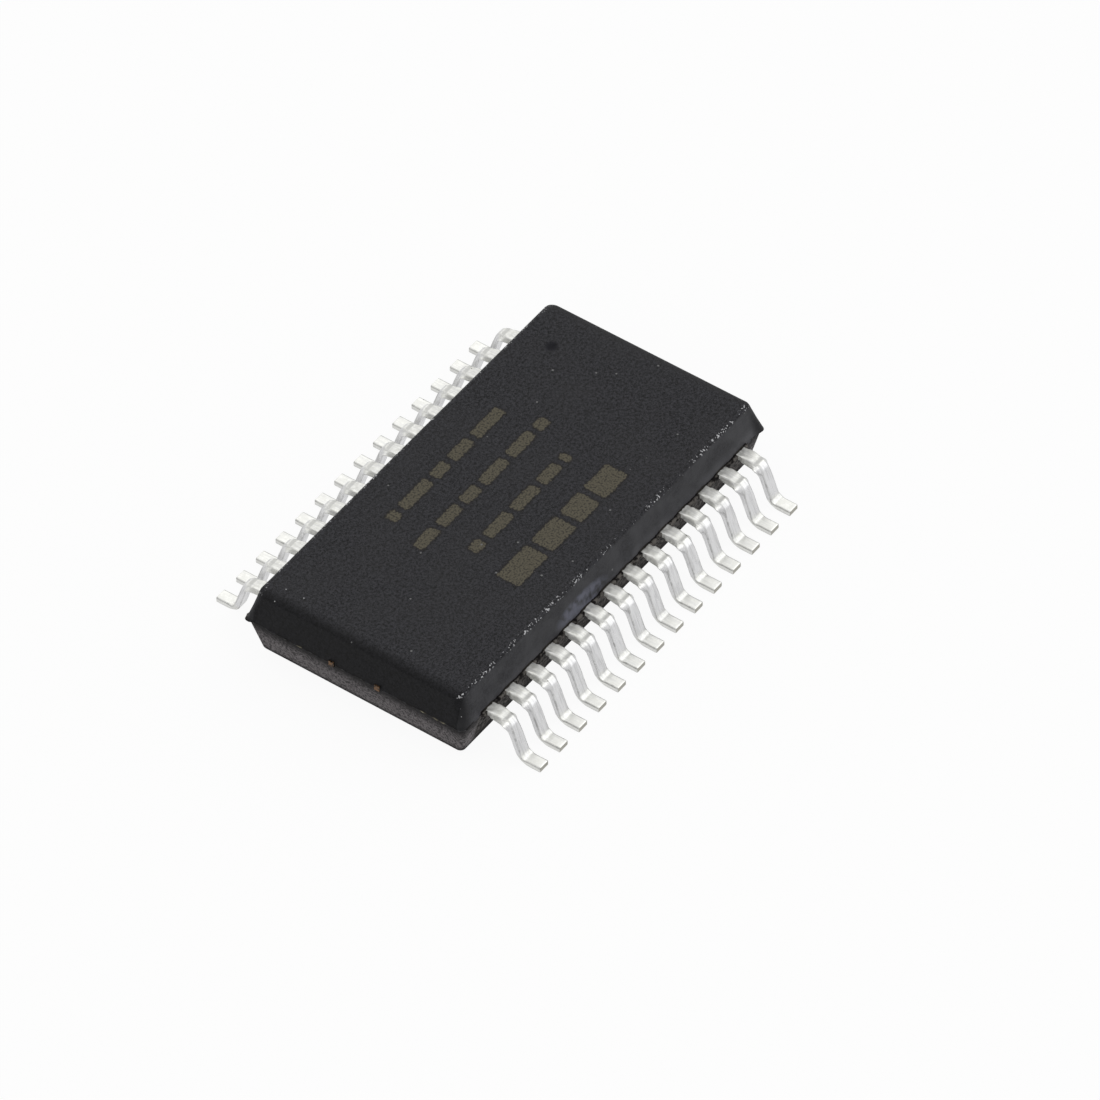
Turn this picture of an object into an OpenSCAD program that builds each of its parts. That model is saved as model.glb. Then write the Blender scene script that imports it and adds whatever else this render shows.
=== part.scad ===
// Surface-mount converter chip: a moulded body with a row of gull-wing leads along each long side.
// Inside are the die paddle, the die on its adhesive and the wires from the die to the leads.
// Millimetres. Z rises from the board, X runs towards the end with the first lead, origin under the middle.

/* [Moulded body] */
// Length of the body at its parting line
body_length = 10.13; // [9.9:0.01:10.5]
// Width of the body at its parting line
body_width = 5.29; // [5.0:0.01:5.6]
// Height of the body above the middle of the lead frame
upper_rise = 0.77; // [0.7:0.01:0.85]
// Depth of the body below the middle of the lead frame
lower_drop = 0.88; // [0.8:0.01:0.95]
// Clear height between the board and the underside of the body
standoff = 0.06; // [0.05:0.01:0.2]
// Draft of the four walls, in degrees from the vertical
draft = 12; // [8:0.5:14]
// Round of the top and bottom edges
edge_round = 0.1; // [0.05:0.01:0.14]
// Round of the four corners
corner_round = 0.12; // [0.06:0.01:0.2]

/* [Leads] */
// Distance between neighbouring leads
pitch = 0.65; // [0.6:0.01:0.68]
// Width of a lead outside the body
lead_width = 0.28; // [0.22:0.01:0.36]
// Thickness of the lead frame's sheet metal
sheet = 0.127; // [0.1:0.001:0.16]
// Flat run of a lead from the body to its upper bend
shoulder = 0.44; // [0.4:0.01:0.5]
// Inside radius of both bends of a lead
bend_radius = 0.11; // [0.08:0.01:0.14]
// Lean of the leg from the vertical, in degrees
leg_lean = 18.5; // [10:0.5:24]
// Flat length of the foot after the lower bend
foot = 0.35; // [0.25:0.01:0.5]

/* [Dam bar remains] */
// Distance from the body to where the dam bar was cut away
dam_gap = 0.16; // [0.12:0.01:0.2]
// Length along the lead of the cut dam bar
dam_length = 0.17; // [0.1:0.01:0.19]
// Stub of the dam bar on each side of a lead
dam_stub = 0.05; // [0.01:0.005:0.07]
// Reach of the resin that is left between the leads
flash_reach = 0.08; // [0.04:0.01:0.14]
// Length of that resin beside the outer side of the end leads
flash_end = 0.1; // [0.05:0.01:0.2]

/* [Lead fingers inside the body] */
// Straight length of a finger behind the wall
finger_root = 0.35; // [0.25:0.01:0.4]
// Width of a finger
finger_width = 0.2; // [0.15:0.01:0.22]
// Gap between a fingertip and the paddle
finger_gap = 0.2; // [0.15:0.01:0.25]
// Straight end of a finger, where its wire is bonded
finger_land = 0.3; // [0.25:0.01:0.32]
// Distance between the fingertips along the paddle
tip_pitch = 0.47; // [0.4:0.01:0.5]

/* [Die paddle] */
// Length of the paddle
paddle_length = 4; // [3.6:0.05:4.3]
// Width of the paddle
paddle_width = 2.6; // [2.45:0.05:2.7]
// Depth of the paddle below the leads
downset = 0.2; // [0.14:0.01:0.25]
// Width of a tie bar
tie_width = 0.13; // [0.1:0.01:0.16]
// Distance between the two tie bars of an end
tie_pitch = 1.12; // [0.9:0.01:1.2]
// Length of the sloping step in a tie bar
tie_ramp = 0.35; // [0.25:0.01:0.5]
// Gap between a tie bar and the finger beside it
tie_gap = 0.15; // [0.12:0.01:0.18]
// Reach of a cut tie bar past the end of the body
tie_stub = 0.02; // [0.01:0.005:0.05]

/* [Die] */
// Length of the die
die_length = 2.4; // [2:0.05:2.8]
// Width of the die
die_width = 2; // [1.7:0.05:2.2]
// Thickness of the die
die_height = 0.28; // [0.2:0.01:0.3]
// Thickness of the adhesive under the die
glue_height = 0.025; // [0.015:0.005:0.04]
// Reach of the adhesive past the die
glue_margin = 0.06; // [0.02:0.01:0.1]

/* [Bond wires] */
// Diameter of a wire
wire_diameter = 0.03; // [0.02:0.001:0.035]
// Diameter of the ball bond on the die
ball_diameter = 0.07; // [0.05:0.005:0.08]
// Height of the ball bond on the die
ball_height = 0.02; // [0.015:0.001:0.03]
// Rise of a wire above the die
loop_rise = 0.15; // [0.1:0.01:0.2]
// Distance from the die's edge to the middle of a ball bond
pad_inset = 0.1; // [0.07:0.01:0.15]
// Diameter of the flattened bond on a finger
stitch_diameter = 0.06; // [0.04:0.005:0.08]
// Height of the flattened bond on a finger
stitch_height = 0.012; // [0.008:0.001:0.02]
// Distance from a fingertip to the flattened bond
stitch_back = 0.12; // [0.08:0.01:0.15]

/* [First-lead mark and vent flash] */
// Diameter of the round dimple at the first lead
mark_diameter = 0.28; // [0.2:0.01:0.5]
// Depth of the dimple
mark_depth = 0.04; // [0.02:0.005:0.08]
// Distance of the dimple's middle from the end of the body
mark_from_end = 1.22; // [0.8:0.01:1.5]
// Distance of the dimple's middle from the side of the body
mark_from_side = 0.95; // [0.7:0.01:1.3]
// Radius of the lobes of the scraps that the mould's vents leave round two opposite corners
vent_radius = 0.09; // [0.06:0.01:0.12]
// Distance of a scrap's side lobe from the end of the body
vent_from_end = 0.14; // [0.13:0.01:0.2]

/* [Hidden] */
$fn = 48;

// Leads on one long side, and how many of each half row end along the paddle's long side
per_side = 14;
side_ranks = 4;
lead_count = 2 * per_side;
last_rank = per_side / 2 - 1;
// Leads that have no circuit behind them, so no wire
unwired = [8, 24];
wired = [for (n = [1:lead_count]) if (len(search(n, unwired)) == 0) n];

function numbered(stem, n) = str(stem, n < 10 ? "0" : "", n);

LEADS = [for (n = [1:lead_count]) numbered("lead_", n)];
WIRES = [for (n = wired) numbered("bond_wire_", n)];

// Heights
frame_z = standoff + lower_drop;
frame_top = frame_z + sheet / 2;
body_top = frame_z + upper_rise;
paddle_top = frame_top - downset;
die_base = paddle_top + glue_height;
die_top = die_base + die_height;

// Body walls, and the corner where two drafted walls meet
corner_tilt = atan(sqrt(2) * tan(draft));
corner_half = 90 - acos(pow(sin(draft), 2)) / 2;
corner_reach = corner_round / tan(corner_half);
corner_centre = corner_round / sin(corner_half);
corner_run = 2 * (upper_rise + lower_drop);
corner_inset = corner_round * (1 - cos(45));

// Side view of a lead: both bends turn by the same angle, so the foot lies flat on the board
turn = 90 - leg_lean;
outer_radius = bend_radius + sheet;
middle_radius = bend_radius + sheet / 2;
leg_drop = frame_z - sheet / 2 - 2 * middle_radius * (1 - cos(turn));
leg_length = leg_drop / cos(leg_lean);
bend_start = body_width / 2 + shoulder;
bend_lap = 0.03;

// Fingertips: the middle ones line the paddle's sides, those of the end leads its ends
tip_line = paddle_width / 2 + finger_gap;
tip_end = paddle_length / 2 + finger_gap;
tip_last = (tie_pitch + tie_width + finger_width) / 2 + tie_gap;
tip_step = (tip_line - tip_last) / (last_rank - side_ranks);
root_line = body_width / 2 - finger_root;

// Bond pads along the die's edges
pad_line = die_width / 2 - pad_inset;
pad_end = die_length / 2 - pad_inset;
end_ranks = last_rank + 1 - side_ranks;
kink_swell = 1.2;
kink_diameter = kink_swell * wire_diameter;

tin = [0.80, 0.80, 0.78];
resin = [0.16, 0.16, 0.17];
copper = [0.72, 0.45, 0.30];
silicon = [0.35, 0.37, 0.42];
silver_glue = [0.70, 0.70, 0.68];
gold = [0.90, 0.72, 0.30];

// Rank 0 is the lead nearest the middle of its row
function rank(n) = floor(abs((n - 1) % per_side - (per_side - 1) / 2));
function place(r) = (r + 0.5) * pitch;
function tip(r) = r < side_ranks ? [(r + 0.5) * tip_pitch, tip_line] : [tip_end, tip_line - (r - side_ranks) * tip_step];
function land(r) = r < side_ranks ? [0, finger_land] : [(r - side_ranks + 1) * finger_land, 0];
function stitch(r) = tip(r) + stitch_back * land(r) / norm(land(r));
function pad(r) = r < side_ranks
    ? [(r + 0.5) * pad_end / side_ranks, pad_line]
    : [pad_end, (last_rank + 0.5 - r) * pad_line / end_ranks];

// Outline of a strip of even width along a path, mitred at its corners
function unit(v) = v / norm(v);
function left_of(v) = [-v[1], v[0]];
function heading(path, i) = unit(path[i + 1] - path[i]);
function edge_point(path, i, offset) =
    let (before = heading(path, max(i - 1, 0)))
    let (after = heading(path, min(i, len(path) - 2)))
    let (out = unit(left_of(before) + left_of(after)))
    path[i] + out * offset / (out * left_of(before));
function strip(path, width) = concat(
    [for (i = [0:len(path) - 1]) edge_point(path, i, width / 2)],
    [for (i = [len(path) - 1:-1:0]) edge_point(path, i, -width / 2)]);
function around(angle, radius) = radius * [cos(angle), sin(angle)];

// Puts a shape made for the quarter with the first lead at lead n
module at_lead(n) {
    rotate([0, 0, n > per_side ? 180 : 0])
        if ((n - 1) % per_side < per_side / 2) children();
        else mirror([1, 0, 0]) children();
}

// Cross-section of the body: two drafted halves that meet at the parting line
module mould_profile(across) {
    edge_reach = edge_round / tan(45 + draft / 2);
    top_half = across / 2 - upper_rise * tan(draft);
    bottom_half = across / 2 - lower_drop * tan(draft);
    along_wall = edge_reach * [sin(draft), cos(draft)];
    for (side = [0, 1])
        mirror([side, 0]) {
            polygon([
                [0, body_top],
                [top_half - edge_reach, body_top],
                [top_half + along_wall[0], body_top - along_wall[1]],
                [across / 2, frame_z],
                [bottom_half + along_wall[0], standoff + along_wall[1]],
                [bottom_half - edge_reach, standoff],
                [0, standoff]]);
            translate([top_half - edge_reach, body_top - edge_round])
                circle(edge_round);
            translate([bottom_half - edge_reach, standoff + edge_round])
                circle(edge_round);
        }
}

// The sliver outside the round of one upper corner
module corner_cut() {
    wall = corner_reach * [-cos(corner_half), sin(corner_half)];
    translate([body_length / 2, body_width / 2, frame_z])
        rotate([0, -corner_tilt, 45])
            linear_extrude(corner_run, center = true)
                difference() {
                    polygon([[corner_round, 0], wall, [-corner_centre, 0], [wall[0], -wall[1]]]);
                    translate([-corner_centre, 0])
                        circle(corner_round);
                }
}

module all_corners() {
    for (x = [0, 1], y = [0, 1], z = [0, 1])
        translate([0, 0, frame_z])
            mirror([0, 0, z])
                translate([0, 0, -frame_z])
                    mirror([0, y, 0])
                        mirror([x, 0, 0])
                            corner_cut();
}

// The moulded block with its round edges
module block() {
    difference() {
        intersection() {
            rotate([90, 0, 90])
                linear_extrude(body_length, center = true)
                    mould_profile(body_width);
            rotate([90, 0, 0])
                linear_extrude(body_width, center = true)
                    mould_profile(body_length);
        }
        all_corners();
    }
}

// Resin that is left between the leads, and the scraps at the vents
module flash() {
    flash_length = (per_side - 1) * pitch + lead_width + 2 * flash_end;
    translate([0, 0, frame_z])
        cube([flash_length, body_width + 2 * flash_reach, sheet], center = true);
    for (end = [0, 180])
        rotate([0, 0, end])
            translate([-body_length / 2, body_width / 2, frame_z])
                linear_extrude(sheet, center = true) {
                    translate([vent_from_end, 0])
                        circle(vent_radius);
                    translate([corner_inset, -corner_inset])
                        circle(vent_radius);
                }
}

module package_body() {
    mark_radius = (pow(mark_diameter / 2, 2) + pow(mark_depth, 2)) / (2 * mark_depth);
    color(resin)
        difference() {
            union() {
                block();
                flash();
            }
            translate([body_length / 2 - mark_from_end, body_width / 2 - mark_from_side, body_top])
                translate([0, 0, mark_radius - mark_depth])
                    sphere(mark_radius);
            for (n = [1:lead_count]) at_lead(n) lead_flat(rank(n));
            for (n = wired) at_lead(n) wire(rank(n));
            paddle_plate();
            glue_layer();
            die_block();
        }
}

// The flat of a lead: its finger in the body, its shoulder and the stubs of the dam bar
module lead_flat(r) {
    path = [[place(r), body_width / 2], [place(r), root_line], tip(r) + land(r), tip(r)];
    dam_start = body_width / 2 + dam_gap;
    translate([0, 0, frame_z])
        linear_extrude(sheet, center = true) {
            polygon(strip(path, finger_width));
            translate([place(r) - lead_width / 2, root_line])
                square([lead_width, bend_start - root_line]);
            translate([place(r) - lead_width / 2 - dam_stub, dam_start])
                square([lead_width + 2 * dam_stub, dam_length]);
        }
}

// A bend to the right of a strip that runs along X, with its end a hair past the turn to join what follows
module bend() {
    far = 2 * outer_radius;
    translate([0, -middle_radius])
        intersection() {
            difference() {
                circle(outer_radius);
                circle(bend_radius);
            }
            polygon([[0, 0], [0, far], around(90 - turn / 2, far), around(90 - turn - bend_lap, far)]);
        }
}

// Carries on along X after a bend
module after_bend() {
    translate([0, -middle_radius])
        rotate(-turn)
            translate([0, middle_radius])
                children();
}

module straight(length) {
    translate([0, -sheet / 2]) square([length, sheet]);
}

// Side view of a lead outside the body, drawn along its own line
module gull_profile() {
    translate([body_width / 2, frame_z]) {
        straight(shoulder);
        translate([shoulder, 0]) {
            bend();
            after_bend() {
                straight(leg_length);
                translate([leg_length, 0])
                    mirror([0, 1]) {
                        bend();
                        after_bend() straight(foot);
                    }
            }
        }
    }
}

module lead(n) {
    color(tin)
        at_lead(n) {
            lead_flat(rank(n));
            translate([place(rank(n)), 0, 0])
                rotate([90, 0, 90])
                    linear_extrude(lead_width, center = true)
                        gull_profile();
        }
}

// Paddle with two stepped tie bars at each end
module paddle_plate() {
    paddle_z = paddle_top - sheet / 2;
    step = paddle_length / 2 + finger_gap;
    bar = [
        [paddle_length / 2 - sheet, paddle_z],
        [step, paddle_z],
        [step + tie_ramp, frame_z],
        [body_length / 2 + tie_stub, frame_z]];
    translate([0, 0, paddle_z])
        cube([paddle_length, paddle_width, sheet], center = true);
    for (end = [0, 180], y = [-1, 1] * tie_pitch / 2)
        rotate([0, 0, end])
            translate([0, y, 0])
                rotate([90, 0, 0])
                    linear_extrude(tie_width, center = true)
                        polygon(strip(bar, sheet));
}

module die_paddle() {
    color(copper) paddle_plate();
}

module glue_layer() {
    glue_size = [die_length, die_width] + 2 * glue_margin * [1, 1];
    translate([-glue_size[0] / 2, -glue_size[1] / 2, paddle_top])
        cube([glue_size[0], glue_size[1], glue_height]);
}

module die_attach() {
    color(silver_glue) glue_layer();
}

module die_block() {
    translate([-die_length / 2, -die_width / 2, die_base])
        cube([die_length, die_width, die_height]);
}

module die() {
    color(silicon) die_block();
}

// A wire rises from its ball on the die, kinks and runs down to its finger
module wire(r) {
    start = [pad(r)[0], pad(r)[1], die_top];
    kink = start + [0, 0, loop_rise];
    finish = [stitch(r)[0], stitch(r)[1], frame_top];
    run = finish - kink;
    translate(start) cylinder(d = ball_diameter, h = ball_height);
    translate(start) cylinder(d = wire_diameter, h = loop_rise);
    translate(kink) sphere(d = kink_diameter);
    difference() {
        translate(kink)
            rotate([0, acos(run[2] / norm(run)), atan2(run[1], run[0])])
                cylinder(d = wire_diameter, h = norm(run));
        translate(finish - [sheet, sheet, 2 * sheet])
            cube(2 * sheet);
    }
    translate(finish) cylinder(d = stitch_diameter, h = stitch_height);
}

module bond_wire(n) {
    color(gold) at_lead(n) wire(rank(n));
}

package_body();
die_paddle();
die_attach();
die();
for (n = [1:lead_count]) lead(n);
for (n = wired) bond_wire(n);
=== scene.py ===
# %% [markdown]
# # A moulded chip with gull-wing leads
# The part is a surface-mount chip: a black resin body moulded round a lead frame, with 14 plated leads along
# each long side. The solid model comes in first and stays fixed, because every later piece takes its place
# from the same frame, in metres. Its box is kept, to show at the end that the looks didn't change the size.

# %% Load the solid model
import math

import bpy
import numpy as np
from mathutils import Matrix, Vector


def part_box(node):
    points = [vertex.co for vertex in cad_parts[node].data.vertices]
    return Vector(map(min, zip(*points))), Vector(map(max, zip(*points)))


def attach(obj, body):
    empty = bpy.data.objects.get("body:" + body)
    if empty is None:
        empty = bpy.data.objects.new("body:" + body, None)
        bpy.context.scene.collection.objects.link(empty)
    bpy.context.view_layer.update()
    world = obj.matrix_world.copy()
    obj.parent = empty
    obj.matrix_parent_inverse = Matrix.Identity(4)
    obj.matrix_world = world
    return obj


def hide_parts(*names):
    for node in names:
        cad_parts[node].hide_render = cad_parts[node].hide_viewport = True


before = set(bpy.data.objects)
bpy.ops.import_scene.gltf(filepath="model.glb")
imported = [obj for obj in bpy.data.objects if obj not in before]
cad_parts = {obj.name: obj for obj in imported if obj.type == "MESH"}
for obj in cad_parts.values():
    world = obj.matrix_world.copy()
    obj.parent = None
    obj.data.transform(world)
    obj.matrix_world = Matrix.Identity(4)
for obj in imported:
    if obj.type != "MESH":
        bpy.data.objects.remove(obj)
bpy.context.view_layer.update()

# %% [markdown]
# ## Camera
# The chip was photographed with a long lens from above one end, so its long edges stay almost parallel. The
# camera is written as two turns, a small roll and a distance. Its three axes are then plain vectors, and they
# fill the columns of the camera's matrix. That is easier to adjust than three Euler angles.

# %% Camera from azimuth, elevation, roll and distance
MM = 0.001
azimuth, elevation, roll = np.radians([-52.8981, 46.7063, -1.3897])
camera_distance, slide_right, slide_up = 234.87, 0.8529, -0.5192
sensor_width, lens_length = 36, 387.28
pivot = np.array([0, 0, 0.9])


def stand(thing, axes, place):
    """Sets an object's matrix: its three axes fill the columns, and a place in millimetres fills the last one."""
    columns = np.column_stack([*axes, place * MM])
    thing.matrix_world = Matrix(columns.tolist() + [[0, 0, 0, 1]])


back = np.array([math.sin(azimuth) * math.cos(elevation), -math.cos(azimuth) * math.cos(elevation),
                 math.sin(elevation)])
level = np.array([math.cos(azimuth), math.sin(azimuth), 0])
upright = np.cross(back, level)
right = math.cos(roll) * level + math.sin(roll) * upright
up = math.cos(roll) * upright - math.sin(roll) * level
camera_place = pivot + slide_right * right + slide_up * up + camera_distance * back

camera = bpy.data.objects.new("camera", bpy.data.cameras.new("camera"))
bpy.context.collection.objects.link(camera)
camera.data.sensor_width, camera.data.lens = sensor_width, lens_length
camera.data.clip_start, camera.data.clip_end = 0.01, 10
stand(camera, (right, up, back), camera_place)
bpy.context.scene.camera = camera
bpy.context.scene.view_settings.view_transform = "Standard"
print("camera at", np.round(camera_place, 1), "mm")

# %% [markdown]
# ## From grids to meshes
# Each new piece is one or more grids of points. A grid of vertex numbers gives its faces by shifting the grid
# by one row and one column, so no loop runs over vertices. A shell is three things: its points, its blocks of
# faces, which are arrays of vertex numbers, and its marks, which are numbers kept at the points.

# %% Helpers: faces of a grid, tubes and joined shells
def grid_faces(numbers):
    """Four-sided faces of a grid of vertex numbers: each joins (i, j), (i, j+1), (i+1, j+1) and (i+1, j)."""
    cycle = numbers[:-1, :-1], numbers[:-1, 1:], numbers[1:, 1:], numbers[1:, :-1]
    return np.stack(cycle, -1).reshape(-1, 4)


def closed_rows(numbers):
    """The same grid with its first column repeated at the end, so that each row closes on itself."""
    return np.concatenate([numbers, numbers[:, :1]], 1)


def tube(rings, marks):
    """Closed shell from an array of rings (rings, places, 3): side faces, and one many-sided face at each end."""
    count, places = rings.shape[:2]
    numbers = np.arange(count * places).reshape(count, places)
    blocks = [grid_faces(closed_rows(numbers)), numbers[:1, ::-1], numbers[-1:]]
    spread = {key: np.broadcast_to(values, (count, places)).ravel() for key, values in marks.items()}
    return rings.reshape(-1, 3), blocks, spread


def join_shells(shells):
    """One shell from several. Each shell's vertex numbers move along by the count of the points before it."""
    all_points, all_blocks, all_marks = zip(*shells)
    starts = np.cumsum([0] + [len(points) for points in all_points])
    blocks = [start + block for start, shell_blocks in zip(starts, all_blocks) for block in shell_blocks]
    marks = {key: np.concatenate([shell_marks[key] for shell_marks in all_marks]) for key in all_marks[0]}
    return np.concatenate(all_points), blocks, marks


print("shell helpers ready")

# %% [markdown]
# Millimetres become metres in one place only, where a shell turns into a mesh. The piece then rides on the
# part's only body and gets the name of its finish. The volume shows whether the faces point outwards, because
# it comes out below zero if they don't.

# %% Helpers: a finished piece and its volume
def make_piece(name, shell):
    """A smooth mesh object from a shell in millimetres. Its marks are kept as attributes of the points."""
    points, blocks, marks = shell
    mesh = bpy.data.meshes.new(name)
    mesh.from_pydata((points * MM).tolist(), [], sum((block.tolist() for block in blocks), []))
    mesh.polygons.foreach_set("use_smooth", np.ones(len(mesh.polygons), bool))
    for key, values in marks.items():
        layer = mesh.attributes.new(key, "FLOAT", "POINT")
        layer.data.foreach_set("value", np.asarray(values, np.float32))
    mesh.update()
    piece = bpy.data.objects.new(name, mesh)
    bpy.context.collection.objects.link(piece)
    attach(piece, "root")
    return piece


def volume(piece):
    """Volume in cubic millimetres: a sixth of the summed triple products of the triangles' corners."""
    mesh = piece.data
    mesh.calc_loop_triangles()
    triangles = np.zeros(len(mesh.loop_triangles) * 3, np.int32)
    mesh.loop_triangles.foreach_get("vertices", triangles)
    places = np.zeros(len(mesh.vertices) * 3, np.float32)
    mesh.vertices.foreach_get("co", places)
    a, b, c = (places.reshape(-1, 3)[triangles].reshape(-1, 3, 3) / MM).transpose(1, 0, 2)
    return float(np.einsum("ij,ij->i", a, np.cross(b, c)).sum() / 6)


print("piece helpers ready")

# %% [markdown]
# ## The moulded body
# Black resin fills two half moulds that meet at the parting line, so all walls lean by the mould's draft and
# the body is widest halfway up. A cube with a bevel would lose the line where the halves meet. Here the body
# is a rounded rectangle carried up through a list of levels, each with its own inset and height. The long edges
# of the top are crisp and the short ones soft, so the sides and the ends have a list each.

# %% Body sizes, in millimetres
body_length, body_width = 10.13, 5.29
standoff, parting, body_top = 0.06, 0.94, 1.71
draft = math.radians(12)
edge_round, end_reach, end_drop = 0.1, 0.3, 0.12
corner_round, top_corner_round = 0.12, 0.2
print("body", body_length, "x", body_width, "mm, top edge", round(body_top - parting, 2), "mm over the parting line")

# %% [markdown]
# Each half of the body is a drafted wall and a rounded edge. Both are worked out from the parting line outwards, so
# that one function serves the lower and the upper half. On the ends the upper edge is longer along the top than
# down the wall, which an even bevel can't give. Five close levels at the parting line will carry its ragged lip.

# %% Levels of the walls and edges
arc_points, support = 11, 0.02
wall_stations = [0.025, 0.05, 0.3, 0.55]
lip_height = np.array([-0.014, -0.007, 0.0, 0.007, 0.014])


def edge_levels(height, reach, drop):
    """Inset and height, from the parting line outwards, of a drafted wall and of the rounded edge at its end.

    The wall's inset is its height times the tangent of the draft. The edge is a part of an ellipse, so far along
    the flat and so far down the wall, from where it touches the wall to the flat. A last level lies on the flat,
    to keep its shading level."""
    turn = np.linspace(math.atan(drop / reach * math.tan(draft)), math.pi / 2, arc_points)
    arc_height = height - drop * (1 - np.sin(turn))
    flat = arc_height[0] * math.tan(draft) + reach * math.cos(turn[0])
    wall = np.array(wall_stations + [arc_height[0] - support])
    inset = np.concatenate([wall * math.tan(draft), flat - reach * np.cos(turn), [flat + support]])
    return inset, np.concatenate([wall, arc_height, [height]])


def all_levels(reach, drop):
    """Inset and height from the bottom to the top: lower half, lip at the parting line and upper half."""
    lower_inset, lower_height = edge_levels(parting - standoff, edge_round, edge_round)
    upper_inset, upper_height = edge_levels(body_top - parting, reach, drop)
    inset = np.concatenate([lower_inset[::-1], abs(lip_height) * math.tan(draft), upper_inset])
    height = np.concatenate([parting - lower_height[::-1], parting + lip_height, parting + upper_height])
    return inset, height


side_inset, side_height = all_levels(edge_round, edge_round)
end_inset, end_height = all_levels(end_reach, end_drop)
level_count = len(side_inset)
waist_level = level_count // 2
lip_levels = slice(waist_level - 2, waist_level + 3)
corner_radius = np.interp(side_height, [parting, body_top], [corner_round, top_corner_round])[:, None]
edge_mark = np.zeros(level_count)
edge_mark[-1 - arc_points:-1] = np.sin(np.linspace(0, math.pi, arc_points))
print("levels", level_count, "top insets", round(float(side_inset[-1]), 4), round(float(end_inset[-1]), 4))

# %% [markdown]
# The dimple beside the first lead will be pressed into the top's own grid. A boolean cut would leave ragged
# triangles round it, so the lines across the top gather there instead, and the dimple gets enough points.

# %% Lines across the top
dimple = np.array([3.845, 1.695])
dimple_radius, dimple_depth = 0.14, 0.04
close_half, close_lines = 0.3, 31
long_lines, short_lines = 120, 72


def gathered(half, centre, coarse):
    """Places of lines from -half to half: even steps, with close even steps on both sides of the centre."""
    close = centre + np.linspace(-close_half, close_half, close_lines)
    low = np.linspace(-half, close[0], coarse, endpoint=False)
    high = np.linspace(half, close[-1], coarse // 5, endpoint=False)[::-1]
    return np.concatenate([low, close, high])


straight_x = float(body_length / 2 - end_inset[-1] - corner_radius[-1, 0])
straight_y = float(body_width / 2 - side_inset[-1] - corner_radius[-1, 0])
long_parts = gathered(straight_x, dimple[0], long_lines)[1:-1] / (2 * straight_x) + 0.5
short_parts = gathered(straight_y, dimple[1], short_lines)[1:-1] / (2 * straight_y) + 0.5
print("lines across", len(long_parts), "by", len(short_parts))

# %% [markdown]
# The outline at each level is four sides. A side runs from the middle of one rounded corner to the middle of
# the next, so that the same grid also covers the flat top and bottom without a pole, where shading would pinch.
# The outward direction is kept at every place, because the lip and the swollen corners are pushed along it.

# %% Outline of the body at every level
eighth_points = 6


def side(half, across, parts):
    """Places along and out, and the outward direction's two parts, of one side of a rounded rectangle.

    It is an eighth of a circle, a straight with points at the given parts of its length, and an eighth again."""
    turn = np.linspace(0, math.pi / 4, eighth_points)[None]
    straight = half - corner_radius
    sine, cosine = np.sin(turn), np.cos(turn)
    flat = straight * (2 * parts[None] - 1)
    bend = across - corner_radius + corner_radius * cosine
    along = np.concatenate([-straight - corner_radius * sine[:, ::-1], flat, straight + corner_radius * sine], 1)
    out = np.concatenate([bend[:, ::-1], np.broadcast_to(across, flat.shape), bend], 1)
    face_along = np.concatenate([-sine[:, ::-1], 0 * parts[None], sine], 1)
    face_out = np.concatenate([cosine[:, ::-1], 1 + 0 * parts[None], cosine], 1)
    shape = len(half), along.shape[1] - 1
    return [np.broadcast_to(values[:, :-1], shape) for values in (along, out, face_along, face_out)]


def outline(long_parts, short_parts):
    """Rounded rectangle at every level: points and outward directions, as arrays of levels by places.

    It is four sides, each the one before turned by a quarter turn, with length and width changing places."""
    half_x, half_y = body_length / 2 - end_inset[:, None], body_width / 2 - side_inset[:, None]
    south = side(half_x, half_y, long_parts)
    east = side(half_y, half_x, short_parts)
    north = side(half_x, half_y, 1 - long_parts[::-1])
    west = side(half_y, half_x, 1 - short_parts[::-1])
    x = np.concatenate([south[0], east[1], -north[0], -west[1]], 1)
    y = np.concatenate([-south[1], east[0], north[1], -west[0]], 1)
    face_x = np.concatenate([south[2], east[3], -north[2], -west[3]], 1)
    face_y = np.concatenate([-south[3], east[2], north[3], -west[2]], 1)
    return np.stack([x, y], -1), np.stack([face_x, face_y], -1)


ring, outward = outline(long_parts, short_parts)
columns, rows = (len(parts) + 2 * eighth_points - 1 for parts in (long_parts, short_parts))
print("places round", ring.shape[1], "of", 2 * (columns + rows))

# %% [markdown]
# Where the two mould halves meet, a little resin squeezes out and breaks off. That leaves a thin ragged lip, and
# it is real relief, so it goes into the mesh. The lip's size is a sum of waves along the outline with random
# phases, and a seed keeps them the same at every run. A few chips on one end stand a little further out.

# %% Ragged lip along the parting line
seed = np.random.default_rng(11)
lip_mean, lip_most, lip_profile = 0.007, 0.018, [0.3, 0.9, 1, 0.7, 0.1]
near_end = -5
chip_places, chip_half, chip_height = np.array([-1.67, -1.98, -2.16, 1.35]), 0.035, 0.009


def ragged(along, lengths):
    """Sum of cosine waves along a distance, one for each wavelength, with random phases, about -1 to 1 in all."""
    phase = seed.uniform(0, 2 * math.pi, len(lengths))
    return np.cos(2 * math.pi * along[..., None] / np.array(lengths) + phase).sum(-1) / math.sqrt(len(lengths))


waist = ring[waist_level]
round_waist = np.cumsum(np.hypot(*np.diff(waist, axis=0, append=waist[:1]).T))
on_end = waist[:, 0] < near_end
chips = np.exp(-((waist[:, 1, None] - chip_places) / chip_half) ** 2).max(1) * on_end
lip_waves = ragged(round_waist, [1.9, 0.83, 0.41, 0.23, 0.17])
lip = np.clip(lip_mean + lip_mean * lip_waves + chip_height * chips, 0.0, lip_most)
lip_share = np.zeros(level_count)
lip_share[lip_levels] = lip_profile
print("lip from", round(float(lip.min()), 4), "to", round(float(lip.max()), 4), "mm")

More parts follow.
